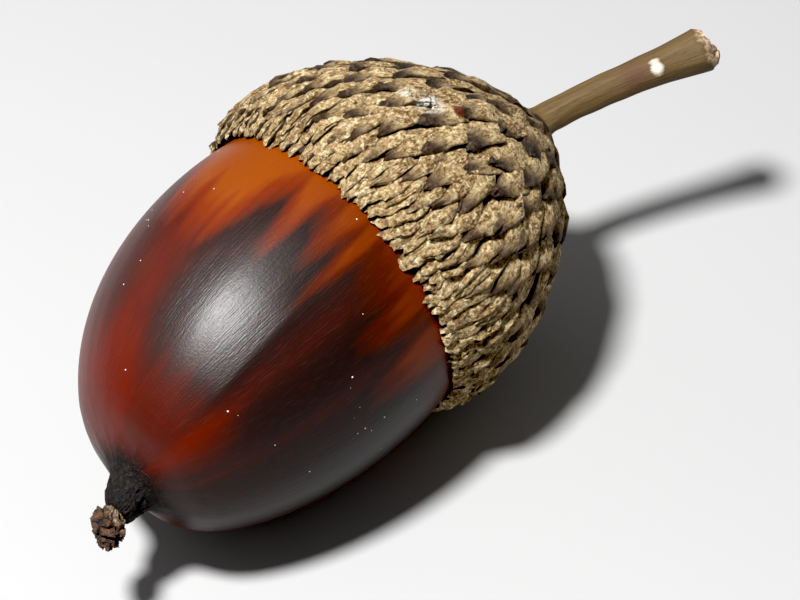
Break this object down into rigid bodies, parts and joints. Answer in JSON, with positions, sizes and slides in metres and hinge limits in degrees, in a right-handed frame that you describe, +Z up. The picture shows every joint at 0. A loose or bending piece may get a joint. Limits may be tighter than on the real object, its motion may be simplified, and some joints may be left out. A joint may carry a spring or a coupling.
{
  "type": "acorn",
  "caption": "Acorn lying on its side: glossy egg-shaped nut with a pointed tip, seated in a scaly woody cup with a bent stalk.",
  "frame": {"origin": "centre of the bounding box's bottom face, on the surface that the acorn lies on", "axes": "+X along the acorn from its tip to its stalk, +Z up from the surface, the stalk leans toward -Y"},
  "size_m": [0.044, 0.02, 0.0198],
  "materials": {
    "nut_shell": "naturally polished, red-brown to near black",
    "cup_scales": "matt, dry and finely hairy, tan with dark tips",
    "stalk_bark": "matt bark, finely grained along its length",
    "style_crust": "matt and crumbly"
  },
  "bodies": {
    "root": {"nut": "nut_shell", "cup": "cup_scales", "stalk": "stalk_bark", "style_remnant": "style_crust"}
  },
  "joints": []
}
